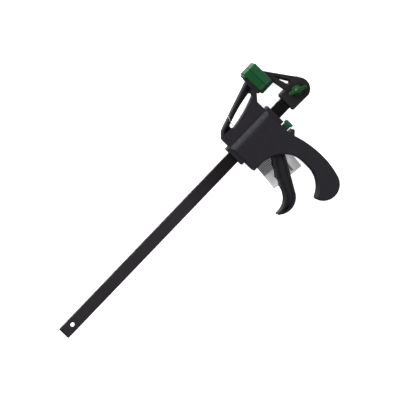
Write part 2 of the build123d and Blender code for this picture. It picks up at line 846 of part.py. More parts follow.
with BuildPart() as hang_tag:
    with BuildSketch(tag_plane):
        with Locations((tag_width / 2, tag_height / 2)):
            RectangleRounded(tag_width, tag_height, 1.5)
        with Locations((tag_width / 2, tag_height - tag_hole_margin)):
            Circle(tag_hole_diameter / 2, mode=Mode.SUBTRACT)
    extrude(amount=tag_thickness)
hang_tag.part.label = "hang_tag"
export_step(hang_tag.part, "parts/hang_tag.step")

# through the tag's hole, behind the arm, over its rim and back through the slot
loop_route = [
    (324.0, 12.0, -12.8),
    (327.0, 20.0, -12.8),
    (327.6, 30.5, -12.6),
    (325.0, 40.5, -12.5),
    (320.5, 45.0, -5.0),
    (317.0, 44.5, 5.5),
    (312.8, 38.0, 12.5),
    (310.8, 29.0, 10.0),
    (311.4, 27.6, -9.5),
    (315.5, 19.5, -12.6),
    (322.6, 12.0, -12.8),
]


def bend_radii(route):
    """Largest radius that the two runs at each corner leave room for."""
    points = [Vector(*point) for point in route]
    radii = []
    for before, corner, after in zip(points, points[1:], points[2:]):
        run_in, run_out = corner - before, after - corner
        half_turn = radians(run_in.get_angle(run_out)) / 2
        radii.append(0.45 * min(run_in.length, run_out.length) / tan(half_turn))
    return radii


with BuildPart() as tag_loop:
    with BuildLine() as loop_path:
        FilletPolyline(*loop_route, radius=bend_radii(loop_route))
    with BuildSketch(Plane(origin=loop_path.line @ 0, z_dir=loop_path.line % 0)):
        Circle(loop_diameter / 2)
    sweep()
tag_loop.part.label = "tag_loop"
export_step(tag_loop.part, "parts/tag_loop.step")
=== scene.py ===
"""A one-handed quick release bar clamp, lying on its side on a white light table."""

import math
from functools import partial

import bmesh
import bpy
from mathutils import Matrix, Vector


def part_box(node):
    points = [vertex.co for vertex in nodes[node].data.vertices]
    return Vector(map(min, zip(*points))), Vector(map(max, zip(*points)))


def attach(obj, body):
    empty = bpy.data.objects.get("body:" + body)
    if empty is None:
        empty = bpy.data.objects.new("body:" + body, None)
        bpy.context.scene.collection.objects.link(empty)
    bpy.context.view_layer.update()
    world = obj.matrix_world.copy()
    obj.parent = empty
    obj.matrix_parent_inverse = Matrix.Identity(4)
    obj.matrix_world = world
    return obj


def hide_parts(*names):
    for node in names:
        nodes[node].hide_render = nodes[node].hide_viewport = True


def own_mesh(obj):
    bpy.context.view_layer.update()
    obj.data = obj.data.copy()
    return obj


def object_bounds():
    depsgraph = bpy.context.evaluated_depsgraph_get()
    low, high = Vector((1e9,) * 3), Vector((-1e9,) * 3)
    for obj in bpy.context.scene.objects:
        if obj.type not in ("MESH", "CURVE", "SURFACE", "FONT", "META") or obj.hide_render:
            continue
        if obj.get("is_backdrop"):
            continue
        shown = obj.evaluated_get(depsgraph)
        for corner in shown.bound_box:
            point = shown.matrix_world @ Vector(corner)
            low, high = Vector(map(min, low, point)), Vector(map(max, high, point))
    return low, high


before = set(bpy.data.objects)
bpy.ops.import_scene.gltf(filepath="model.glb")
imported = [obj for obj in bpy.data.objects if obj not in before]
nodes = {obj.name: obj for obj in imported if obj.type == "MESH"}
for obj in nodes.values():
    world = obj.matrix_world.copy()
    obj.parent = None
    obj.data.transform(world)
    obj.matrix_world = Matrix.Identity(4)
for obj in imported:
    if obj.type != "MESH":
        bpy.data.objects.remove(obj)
cad_low, cad_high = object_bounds()
MM = 0.001


# ---- small tools ---------------------------------------------------------------
def linear(hex_colour):
    """An sRGB hex colour as linear RGBA."""
    parts = [int(hex_colour[i : i + 2], 16) / 255 for i in (1, 3, 5)]
    turned = [c / 12.92 if c <= 0.04045 else ((c + 0.055) / 1.055) ** 2.4 for c in parts]
    return (*turned, 1.0)


def give(tree, socket, value):
    """Gives an input a value or a link. A node stands for its first output in use, and
    None leaves the input as it is."""
    if isinstance(value, bpy.types.Node):
        value = next(output for output in value.outputs if output.enabled)
    if isinstance(value, bpy.types.NodeSocket):
        tree.links.new(value, socket)
    elif value is not None:
        socket.default_value = value


def add_node(tree, kind, inputs=(), **settings):
    """Adds a node with its settings, and gives its inputs their values and links."""
    made = tree.nodes.new(kind)
    for name, value in settings.items():
        setattr(made, name, value)
    for name, value in dict(inputs).items():
        give(tree, made.inputs[name], value)
    return made


# the places of the share and the two colours among a Mix node's inputs
SHARE, UNDER, OVER = 0, 6, 7


class Finish:
    """A Principled material in the making. Its patterns lie in the piece's own
    coordinates, and their sizes are in millimetres."""

    def __init__(self, name, constants):
        self.material = bpy.data.materials.new(name)
        self.material.use_nodes = True
        self.tree = self.material.node_tree
        self.add = partial(add_node, self.tree)
        self.place = self.add("ShaderNodeTexCoord").outputs["Object"]
        self.feed(constants)

    def feed(self, inputs):
        """Gives inputs of the shader their values or patterns."""
        shader = self.tree.nodes["Principled BSDF"]
        for name, value in inputs.items():
            give(self.tree, shader.inputs[name], value)

    def grain(self, size, detail=2.0, fineness=0.5):
        """Random grain of one size, or drawn out with a size along each axis; detail is
        the number of its finer octaves and fineness their weight."""
        sizes = size if isinstance(size, tuple) else (size,) * 3
        placed = self.add(
            "ShaderNodeMapping", {"Vector": self.place, "Scale": [1 / (s * MM) for s in sizes]}
        )
        return self.add(
            "ShaderNodeTexNoise",
            {"Vector": placed, "Scale": 1.0, "Detail": detail, "Roughness": fineness},
        )

    def patches(self, least, most, between=(0.3, 0.7), **grain):
        """A value that goes from least to most as the grain climbs between two levels."""
        return self.add(
            "ShaderNodeMapRange",
            {"Value": self.grain(**grain), "From Min": between[0], "From Max": between[1],
             "To Min": least, "To Max": most},
        )

    def covered(self, under, tint, share, strength=1.0):
        """A colour with a tint over it, as far as the share and the strength say."""
        cover = self.add("ShaderNodeMath", {0: share, 1: strength}, operation="MULTIPLY")
        return self.add(
            "ShaderNodeMix", {SHARE: cover, UNDER: under, OVER: linear(tint)}, data_type="RGBA"
        )

    def tinted(self, under, tint, strength=1.0, **patches):
        """A colour with patches of a tint over it."""
        return self.covered(under, tint, self.patches(0.0, 1.0, **patches), strength)

    def relief(self, depth, under=None, **grain):
        """A surface normal with a grain of this depth, laid over another normal."""
        return self.add(
            "ShaderNodeBump",
            {"Height": self.grain(**grain), "Distance": depth * MM, "Normal": under},
        )

    def band(self, value, rise, fall):
        """A value that climbs from 0 to 1 over rise and drops back to 0 over fall."""
        climb = self.add(
            "ShaderNodeMapRange", {"Value": value, "From Min": rise[0], "From Max": rise[1]}
        )
        drop = self.add(
            "ShaderNodeMapRange", {"Value": value, "From Min": fall[1], "From Max": fall[0]}
        )
        return self.add("ShaderNodeMath", {0: climb, 1: drop}, operation="MULTIPLY")

    def done(self, colour, roughness, normal):
        self.feed({"Base Color": colour, "Roughness": roughness, "Normal": normal})
        return self.material


# ---- materials -------------------------------------------------------------------
def glass_filled_nylon(name, body, flow, ejectors=()):
    """Glass-filled nylon, injection moulded in a spark-eroded tool: dull, a little
    mottled where the melt flowed, with a fine even grain, polished high spots, the
    tool's witness line and the round marks that the ejector pins leave."""
    skin = Finish(name, {"Metallic": 0.0, "IOR": 1.5, "Specular IOR Level": 0.3})
    colour = skin.tinted(
        linear(body), flow, size=14.0, between=(0.35, 0.68), detail=3.0, fineness=0.55
    )
    colour = skin.tinted(
        colour, "#4a474c", 0.35, size=0.9, between=(0.62, 0.75), detail=3.0, fineness=0.6
    )
    rough = skin.patches(0.52, 0.66, size=5.0, detail=4.0, fineness=0.6)
    # the erosion grain is about 0.1 mm, drawn at 0.7 mm so that it shows
    normal = skin.relief(0.035, size=0.7, fineness=0.6)
    normal = skin.relief(0.12, normal, size=9.0, detail=1.0)
    # the two halves of the tool meet in the middle plane and leave a fine line
    line_width = 0.22 * MM
    _, _, z = skin.add("ShaderNodeSeparateXYZ", {"Vector": skin.place}).outputs
    line = skin.band(z, (-line_width, 0.0), (0.0, line_width))
    normal = skin.add("ShaderNodeBump", {"Height": line, "Distance": 0.06 * MM, "Normal": normal})
    colour = skin.covered(colour, "#5a575d", line, 0.35)
    flat_place = skin.add(
        "ShaderNodeVectorMath", {0: skin.place, 1: (1.0, 1.0, 0.0)}, operation="MULTIPLY"
    )
    for x, y, radius in ejectors:
        away = skin.add(
            "ShaderNodeVectorMath", {0: flat_place, 1: (x * MM, y * MM, 0.0)},
            operation="DISTANCE",
        )
        inner, rim, outer = (radius - 0.25) * MM, radius * MM, (radius + 0.5) * MM
        step = skin.add("ShaderNodeMapRange", {"Value": away, "From Min": inner, "From Max": rim})
        normal = skin.add(
            "ShaderNodeBump", {"Height": step, "Distance": 0.15 * MM, "Normal": normal}
        )
        ring = skin.band(away, (inner, rim), (rim, outer))
        colour = skin.covered(colour, "#0c0b0d", ring, 0.5)
    return skin.done(colour, rough, normal)


def black_oxide_steel(name, bar_box):
    """Rolled steel bar, blackened: an oxide film with long rolling lines, painted shade
    that darkens it from the tail towards the housing and the jaws, and bare metal
    glinting at its worn edges."""
    low, high = bar_box
    skin = Finish(name, {"Metallic": 0.85})
    x, y, z = skin.add("ShaderNodeSeparateXYZ", {"Vector": skin.place}).outputs
    # painted shade: the bar darkens from its tail towards the housing and the jaws, which shade
    # it
    shade_full_at, shade_gone_at = high.x - 0.115, low.x + 0.205
    painted_shade_to_jaws = skin.add(
        "ShaderNodeMapRange", {"Value": x, "From Min": shade_full_at, "From Max": shade_gone_at}
    )
    colour = skin.covered(linear("#181618"), "#464246", painted_shade_to_jaws)
    # rolling leaves lines about 0.1 mm apart, drawn at 0.7 mm so that they show
    rolling_lines = {"size": (60.0, 0.7, 0.7), "detail": 3.0}
    colour = skin.tinted(colour, "#5c585c", 0.16, between=(0.45, 0.75), **rolling_lines)
    colour = skin.tinted(colour, "#2e2d33", 0.4, size=38.0, between=(0.5, 0.75))
    worn = skin.patches(0.0, 1.0, size=3.0, between=(0.42, 0.62), detail=4.0, fineness=0.7)
    for value, limit in ((y, high.y), (z, high.z)):
        off_middle = skin.add("ShaderNodeMath", {0: value}, operation="ABSOLUTE")
        near_edge = skin.add(
            "ShaderNodeMapRange",
            {"Value": off_middle, "From Min": limit - 0.75 * MM, "From Max": limit - 0.15 * MM},
        )
        worn = skin.add("ShaderNodeMath", {0: worn, 1: near_edge}, operation="MULTIPLY")
    colour = skin.covered(colour, "#8d8a8c", worn)
    rough = skin.patches(0.34, 0.5, size=(30.0, 0.5, 0.5))
    normal = skin.relief(0.02, **rolling_lines)
    normal = skin.relief(0.012, normal, size=1.1, detail=3.0)
    return skin.done(colour, rough, normal)


def soft_rubber(name, body, worn):
    """Thermoplastic rubber, moulded: saturated, soft-edged and matt, with a bloom
    of lighter dust on its skin."""
    skin = Finish(name, {"Metallic": 0.0, "IOR": 1.49, "Specular IOR Level": 0.32})
    colour = skin.tinted(
        linear(body), worn, 0.5, size=6.0, between=(0.45, 0.75), detail=5.0, fineness=0.65
    )
    colour = skin.tinted(colour, "#2f6a45", 0.2, size=1.0, between=(0.64, 0.74))
    rough = skin.patches(0.4, 0.54, size=2.5, detail=3.0)
    # the mould's fine blasted grain, drawn at 0.6 mm so that it shows
    normal = skin.relief(0.03, size=0.6)
    normal = skin.relief(0.15, normal, size=7.0, detail=1.0)
    return skin.done(colour, rough, normal)


def satin_polypropylene(name, body, shade, specular=0.22, smoothest=0.42):
    """Coloured polypropylene, moulded: waxy and a little translucent, smoother than
    the nylon, with faint flow marks and finger scuffs; handling polishes it."""
    skin = Finish(name, {
        "Metallic": 0.0, "IOR": 1.49, "Specular IOR Level": specular,
        "Subsurface Weight": 0.05, "Subsurface Scale": 1.0 * MM,
    })
    colour = skin.tinted(linear(body), shade, size=4.0, between=(0.35, 0.7), detail=3.0)
    rough = skin.patches(smoothest, smoothest + 0.12, size=1.8, detail=4.0, fineness=0.6)
    # the mould's satin grain, drawn at 0.6 mm so that it shows
    return skin.done(colour, rough, skin.relief(0.015, size=0.6))


def zinc_plated_steel(name):
    """Machined steel with bright zinc plating: bluish grey, turned lines, small
    cloudy patches where the passivation varies."""
    skin = Finish(name, {"Metallic": 1.0})
    colour = skin.tinted(
        linear("#b9bec6"), "#a7a69a", size=2.2, between=(0.35, 0.7), detail=3.0
    )
    rough = skin.patches(0.22, 0.38, size=0.8, detail=3.0)
    # turned lines run round Z about 0.1 mm apart, drawn at 0.5 mm so that they show
    return skin.done(colour, rough, skin.relief(0.015, size=(6.0, 6.0, 0.5)))


def oiled_spring_steel(name):
    """Hardened steel plate and drawn wire left with its oil: mid grey, blued in
    places, with fine drawn lines."""
    skin = Finish(name, {"Metallic": 1.0})
    colour = skin.tinted(
        linear("#6f7176"), "#57585f", size=5.0, between=(0.4, 0.7), detail=3.0
    )
    colour = skin.tinted(
        colour, "#4a403a", 0.6, size=1.2, between=(0.6, 0.75), detail=4.0, fineness=0.7
    )
    rough = skin.patches(0.26, 0.42, size=1.5, detail=3.0)
    # drawn and rolled lines are finer than 0.1 mm, shown at 0.35 mm
    return skin.done(colour, rough, skin.relief(0.012, size=(0.35, 4.0, 0.35)))


def tag_card(name):
    """Uncoated grey board, die cut: fibres in its skin, ruled lines to write on in
    the left part and one darker stripe of painted shade down the middle."""
    skin = Finish(name, {
        "Metallic": 0.0, "IOR": 1.45, "Subsurface Weight": 0.85,
        "Subsurface Radius": (1.0, 1.0, 1.0), "Subsurface Scale": 1.6 * MM,
    })
    fibres = {"size": 1.4, "detail": 4.0, "fineness": 0.7}
    colour = skin.tinted(linear("#bfbebf"), "#cac9ca", between=(0.35, 0.7), **fibres)
    # the map runs in millimetres from the card's lower left corner
    sheet = skin.add("ShaderNodeUVMap", uv_map="card")
    across, up, _ = skin.add("ShaderNodeSeparateXYZ", {"Vector": sheet}).outputs

    def within_rectangle(ink_and_shade, left, right, foot, head):
        """Share of the rules' ink and of the stripe's painted shade inside a rectangle; each edge
        is a soft one, between two places.
        """
        for value, rise, fall in ((across, left, right), (up, foot, head)):
            inside = skin.band(value, rise, fall)
            ink_and_shade = skin.add("ShaderNodeMath", {0: ink_and_shade, 1: inside}, operation="MULTIPLY")
        return ink_and_shade

    # strong ink within 0.5 mm of a rule, and a fainter tone between the rules
    rule_spacing = 2.4
    from_rule = skin.add("ShaderNodeMath", {0: up, 1: rule_spacing / 2}, operation="PINGPONG")
    rule = skin.add(
        "ShaderNodeMapRange",
        {"Value": from_rule, "From Min": 0.5, "From Max": 0.7, "To Min": 0.86, "To Max": 0.42},
    )
    rules = within_rectangle(
        rule, left=(-0.6, 0.0), right=(20.0, 20.6), foot=(19.0, 20.4), head=(61.0, 61.4)
    )
    # painted shade: a darker stripe down the middle of the card
    painted_shade_stripe = within_rectangle(
        1.0, left=(29.8, 30.3), right=(32.9, 33.4), foot=(3.0, 3.6), head=(61.4, 62.4)
    )
    colour = skin.covered(colour, "#4c4b4e", rules)
    colour = skin.covered(colour, "#48474a", painted_shade_stripe, 0.8)
    return skin.done(colour, skin.patches(0.7, 0.85, **fibres), skin.relief(0.03, **fibres))


def nylon_line(name):
    """Extruded nylon filament: clear, slightly milky, with a glassy skin."""
    skin = Finish(name, {"Metallic": 0.0, "IOR": 1.53, "Transmission Weight": 0.9})
    colour = skin.tinted(linear("#f2f2ee"), "#dcdedb", size=3.0, between=(0.0, 1.0))
    rough = skin.patches(0.28, 0.38, size=1.0)
    return skin.done(colour, rough, skin.relief(0.02, size=2.0, detail=1.0))


# round ejector marks on the housing: place along and across the bar, and radius, in mm
EJECTORS = ((308.3, 23.4, 2.2), (319.1, 23.7, 1.6), (326.3, 23.7, 1.6))
housing_nylon = glass_filled_nylon(
    "glass_filled_nylon_moulded", "#17151a", "#1b181f", EJECTORS
)
jaw_nylon = glass_filled_nylon("glass_filled_nylon_jaw", "#151313", "#1b1818")
# painted shade: a darker copy of the housing's nylon, for the shade on the trigger's recessed
# sides
trigger_nylon_painted_shade = glass_filled_nylon("glass_filled_nylon_trigger_painted_shade", "#141217", "#17151a")
bar_steel = black_oxide_steel("black_oxide_rolled_steel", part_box("bar"))
moving_pad_rubber = soft_rubber("thermoplastic_rubber_green", "#00451c", "#0a5025")
# painted light: the moving pad's rubber, made lighter for the light that falls on the fixed pad
fixed_pad_rubber = soft_rubber("thermoplastic_rubber_green_painted_lighter", "#124b2c", "#1d5735")
knob_green = satin_polypropylene(
    "polypropylene_green_knob", "#0b3b16", "#10441d", specular=0.32, smoothest=0.36
)
tab_green = satin_polypropylene("polypropylene_green_tab", "#1f5038", "#2a5a43")
zinc_steel = zinc_plated_steel("zinc_plated_steel")
spring_steel = oiled_spring_steel("oiled_spring_steel")
card = tag_card("uncoated_grey_board")
filament = nylon_line("clear_nylon_filament")


# ---- making pieces ---------------------------------------------------------------
MERGE_DISTANCE = 0.002 * MM      # corners nearer than this are one corner
FLAT_ANGLE = math.radians(0.8)   # triangles that meet flatter than this are one face


def piece(name, data, material, body, node):
    """Puts a mesh or curve in a node's place, as a piece that rides on a body."""
    made = bpy.data.objects.new(name, data)
    bpy.context.scene.collection.objects.link(made)
    data.materials.clear()
    data.materials.append(material)
    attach(made, body)
    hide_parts(node)
    return made


def merged_copy(node):
    """A node's mesh as a bmesh, its triangles joined and its flat faces made whole."""
    bm = bmesh.new()
    bm.from_mesh(nodes[node].data)
    bmesh.ops.remove_doubles(bm, verts=bm.verts, dist=MERGE_DISTANCE)
    bmesh.ops.dissolve_limit(bm, angle_limit=FLAT_ANGLE, verts=bm.verts, edges=bm.edges)
    return bm


def finish_mesh(bm, name, smooth_degrees=36.0):
    """Turns a bmesh into a mesh that is smooth except across its real corners."""
    limit = math.radians(smooth_degrees)
    for face in bm.faces:
        face.smooth = True
    for edge in bm.edges:
        edge.smooth = edge.calc_face_angle(math.pi) < limit
    mesh = bpy.data.meshes.new(name)
    bm.to_mesh(mesh)
    bm.free()
    return mesh


def finish_in_metres(bm, name, smooth_degrees=36.0):
    """Finished mesh of a closed shape that was built in millimetres."""
    bmesh.ops.recalc_face_normals(bm, faces=bm.faces)
    bmesh.ops.scale(bm, vec=(MM, MM, MM), verts=bm.verts)
    return finish_mesh(bm, name, smooth_degrees)


def through_modifier(mesh, kind, name, **settings):
    """Mesh that one modifier makes of another mesh; settings go to the modifier."""
    holder = bpy.data.objects.new(name + "_holder", mesh)
    bpy.context.scene.collection.objects.link(holder)
    modifier = holder.modifiers.new("made", kind)
    for setting, value in settings.items():
        if hasattr(modifier, setting):
            setattr(modifier, setting, value)
        else:
            modifier[setting] = value
    holder.update_tag()
    depsgraph = bpy.context.evaluated_depsgraph_get()
    made = bpy.data.meshes.new_from_object(
        holder.evaluated_get(depsgraph), preserve_all_data_layers=True, depsgraph=depsgraph
    )
    made.name = name
    bpy.data.objects.remove(holder)
    return made


def softened(node, radius_mm, corner_degrees=38.0):
    """Copy of a moulded part's mesh with its sharp corners rounded; its flat faces
    keep their own normals."""
    bm = merged_copy(node)
    corner = math.radians(corner_degrees)
    sharp = [edge for edge in bm.edges if edge.calc_face_angle(0) > corner]
    bmesh.ops.bevel(
        bm, geom=sharp, offset=radius_mm * MM, segments=2, profile=0.5,
        affect="EDGES", clamp_overlap=True,
    )
    return through_modifier(
        finish_mesh(bm, node + "_mould"), "WEIGHTED_NORMAL", node + "_finish",
        keep_sharp=True, weight=90,
    )


# ---- moulded and pressed parts ------------------------------------------------------
for node, radius, body, material, slot in (
    ("moving_jaw_body", 0.4, "moving_jaw", housing_nylon, "charcoal_nylon"),
    ("fixed_jaw", 0.35, "frame", jaw_nylon, "charcoal_nylon"),
    ("trigger", 0.45, "trigger", trigger_nylon_painted_shade, "charcoal_nylon"),
    ("release_tab", 0.4, "brake", tab_green, "green_plastic"),
    ("wing_knob", 0.35, "wing_screw", knob_green, "green_plastic"),
    ("knob_washer", 0.15, "washer", zinc_steel, "zinc_steel"),
    ("trigger_pin", 0.15, "moving_jaw", spring_steel, "spring_steel"),
    ("drive_plate_front", 0.2, "drive_plates", spring_steel, "spring_steel"),
    ("drive_plate_rear", 0.2, "drive_plates", spring_steel, "spring_steel"),
    ("brake_plate", 0.2, "brake", spring_steel, "spring_steel"),
):
    piece(node + "_finished", softened(node, radius), material, body, node)

nodes["bar"].data.materials.clear()
nodes["bar"].data.materials.append(bar_steel)


# ---- shapes lofted from rings --------------------------------------------------------
def loft(rings, joined=False):
    """Skins rings of equal count, each a list of Vectors; the two ends are closed, or
    joined to each other."""
    bm = bmesh.new()
    made = [[bm.verts.new(point) for point in ring] for ring in rings]
    around = len(made[0])
    followers = made[1:] + made[:1] if joined else made[1:]
    for lower, upper in zip(made, followers):
        for k in range(around):
            n = (k + 1) % around
            bm.faces.new((lower[k], lower[n], upper[n], upper[k]))
    if not joined:
        bm.faces.new(made[0][::-1])
        bm.faces.new(made[-1])
    return bm


def corner_ring(middle_y, half_up, half_across, low_radius, high_radius, steps=7):
    """Closed outline across the bar, corner by corner, as (y, z) in millimetres."""
    ring = []
    for up, side, start in ((1, 1, 0), (1, -1, 90), (-1, -1, 180), (-1, 1, 270)):
        radius = high_radius if up > 0 else low_radius
        for step in range(steps + 1):
            turn = math.radians(start + 90 * step / steps)
            ring.append((
                middle_y + up * (half_up - radius) + radius * math.sin(turn),
                side * (half_across - radius) + radius * math.cos(turn),
            ))
    return ring


# ---- rubber pads, in millimetres -------------------------------------------------------
PAD_THICKNESS = 9.8
PAD_LOW_CORNER = 11.0
PAD_TOP_CORNER = 0.8
PAD_FACE_EDGE = 0.55
PAD_BACK_EDGE = 1.6
PAD_FACE_INSETS = (8.0, 4.0, 1.5)   # rings that divide the clamping face
PAD_SWELL = 0.12                    # how far the sides bulge between their edges
FACE_STEPS, SIDE_STEPS, BACK_STEPS = 4, 8, 5
TONGUE_SIZE = (17.2, 23.2)          # pocket for the jaw's tongue, across and up
TONGUE_DEPTH = 4.1
TONGUE_BELOW_TOP = 18.0             # pad top down to the tongue's middle
TONGUE_CORNER = 2.5
POCKET_LIP = 0.3
POCKET_FLOOR_INSET = 2.2
HOOD = (4.0, 3.8, 25.0)             # along the bar, up and across
HOOD_REACH = 2.4
HOOD_BELOW_TOP = 3.5
HOOD_EDGE = 1.1


def rubber_pad(node, backwards):
    """Moulded rubber cap: rounded block, slightly swollen sides, pocket in its back."""
    low, high = (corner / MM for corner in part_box(node))
    top, bottom, half_across = high.y, low.y, high.z
    face_x = low.x if backwards > 0 else high.x
    middle, half_up = (top + bottom) / 2, (top - bottom) / 2

    def ring_at(depth, *outline):
        return [Vector((face_x + backwards * depth, y, z)) for y, z in corner_ring(*outline)]

    def side_ring(depth, inset):
        return ring_at(
            depth, middle, half_up - inset, half_across - inset,
            PAD_LOW_CORNER - inset, max(PAD_TOP_CORNER - inset, PAD_TOP_CORNER / 2),
        )

    def pocket_ring(depth, inset=0.0):
        across, up = TONGUE_SIZE
        corner = TONGUE_CORNER - inset
        return ring_at(
            depth, top - TONGUE_BELOW_TOP, up / 2 - inset, across / 2 - inset, corner, corner
        )

    rings = [side_ring(0.0, inset) for inset in PAD_FACE_INSETS]
    for step in range(FACE_STEPS + 1):
        turn = math.radians(90 * step / FACE_STEPS)
        rings.append(side_ring(
            PAD_FACE_EDGE * (1 - math.cos(turn)), PAD_FACE_EDGE * (1 - math.sin(turn))
        ))
    side_start, side_end = PAD_FACE_EDGE, PAD_THICKNESS - PAD_BACK_EDGE
    for step in range(1, SIDE_STEPS):
        share = step / SIDE_STEPS
        swell = PAD_SWELL * math.sin(math.pi * share)
        depth = side_start + share * (side_end - side_start)
        rings.append(side_ring(depth, PAD_SWELL - swell))
    for step in range(BACK_STEPS + 1):
        turn = math.radians(90 * step / BACK_STEPS)
        rings.append(side_ring(
            side_end + PAD_BACK_EDGE * math.sin(turn), PAD_BACK_EDGE * (1 - math.cos(turn))
        ))
    pocket_floor = PAD_THICKNESS - TONGUE_DEPTH
    rings.append(pocket_ring(PAD_THICKNESS, -POCKET_LIP))
    rings.append(pocket_ring(PAD_THICKNESS - POCKET_LIP))
    rings.append(pocket_ring(pocket_floor))
    rings.append(pocket_ring(pocket_floor, POCKET_FLOOR_INSET))
    bm = loft(rings)
    if backwards < 0:
        # hood that reaches back over the top of the jaw's plate
        hood = bmesh.ops.create_cube(bm, size=1.0)["verts"]
        bmesh.ops.scale(bm, vec=HOOD, verts=hood)
        hood_x = face_x - PAD_THICKNESS - HOOD_REACH + HOOD[0] / 2
        bmesh.ops.translate(bm, vec=Vector((hood_x, top - HOOD_BELOW_TOP, 0.0)), verts=hood)
        bmesh.ops.bevel(
            bm, geom=list({edge for vert in hood for edge in vert.link_edges}),
            offset=HOOD_EDGE, segments=4, profile=0.5, affect="EDGES",
        )
    return finish_in_metres(bm, node + "_rubber")


piece("fixed_pad_rubber", rubber_pad("fixed_jaw_pad", 1), fixed_pad_rubber, "frame",
      "fixed_jaw_pad")
piece("moving_pad_rubber", rubber_pad("moving_jaw_pad", -1), moving_pad_rubber, "moving_jaw",
      "moving_jaw_pad")


# ---- thread and nut, in millimetres ------------------------------------------------------
THREAD_PITCH = 0.8
THREAD_DEPTH = 0.28
THREAD_STEP = 0.1                # between the stud's rings
STUD_LEAD = 0.5                  # cone at the stud's end
NUT_BORE = 2.55                  # radius
NUT_BORE_EDGE = 0.3
NUT_FACE = 0.97                  # face's radius as a share of half the width across flats


def threaded_stud(node, around=32):
    """Stud with a rolled thread: each ring's radius follows the helix's flank."""
    low, high = (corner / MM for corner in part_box(node))
    axis_x, axis_y = (low.x + high.x) / 2, (low.y + high.y) / 2
    outside = (high.x - low.x) / 2
    count = int((high.z - low.z) / THREAD_STEP)
    rings = []
    for k in range(count + 1):
        z = low.z + k * (high.z - low.z) / count
        lead = max(0.0, STUD_LEAD - (z - low.z))
        ring = []
        for n in range(around):
            share = n / around
            phase = (z / THREAD_PITCH - share) % 1.0
            # a blunt crest, a straight flank and a blunt root
            flank = min(1.0, max(0.0, abs(2 * phase - 1) * 1.3 - 0.15))
            radius = min(outside - lead, outside - THREAD_DEPTH * flank)
            turn = 2 * math.pi * share
            ring.append(Vector((
                axis_x + radius * math.cos(turn), axis_y + radius * math.sin(turn), z
            )))
        rings.append(ring)
    return finish_in_metres(loft(rings), "rolled_thread", 50.0)


def hexagon_nut(node, around=72):
    """Nut whose corners are turned off by a 30 degree cone on both faces."""
    low, high = (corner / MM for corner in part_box(node))
    axis_x, axis_y = (low.x + high.x) / 2, (low.y + high.y) / 2
    half_flats = (high.y - low.y) / 2
    face, bore_mouth = NUT_FACE * half_flats, NUT_BORE + NUT_BORE_EDGE

    def ring(radius_of, z_of):
        points = []
        for n in range(around):
            turn = 2 * math.pi * n / around
            radius = radius_of(turn)
            points.append(Vector((
                axis_x + radius * math.cos(turn), axis_y + radius * math.sin(turn),
                z_of(radius),
            )))
        return points

    def hexagon(turn):
        return half_flats / math.cos((turn + math.pi / 6) % (math.pi / 3) - math.pi / 6)

    def cone(radius):
        return max(0.0, radius - face) * math.tan(math.radians(30))

    rings = [
        ring(lambda turn: NUT_BORE, lambda r: low.z + NUT_BORE_EDGE),
        ring(lambda turn: bore_mouth, lambda r: low.z),
        ring(lambda turn: face, lambda r: low.z),
        ring(hexagon, lambda r: low.z + cone(r)),
        ring(hexagon, lambda r: high.z - cone(r)),
        ring(lambda turn: face, lambda r: high.z),
        ring(lambda turn: bore_mouth, lambda r: high.z),
        ring(lambda turn: NUT_BORE, lambda r: high.z - NUT_BORE_EDGE),
    ]
    return finish_in_metres(loft(rings, joined=True), "hexagon_nut", 25.0)


piece("knob_stud_thread", threaded_stud("knob_stud"), zinc_steel, "wing_screw",
      "knob_stud")
piece("jaw_nut_hexagon", hexagon_nut("jaw_nut"), zinc_steel, "frame",
      "jaw_nut")


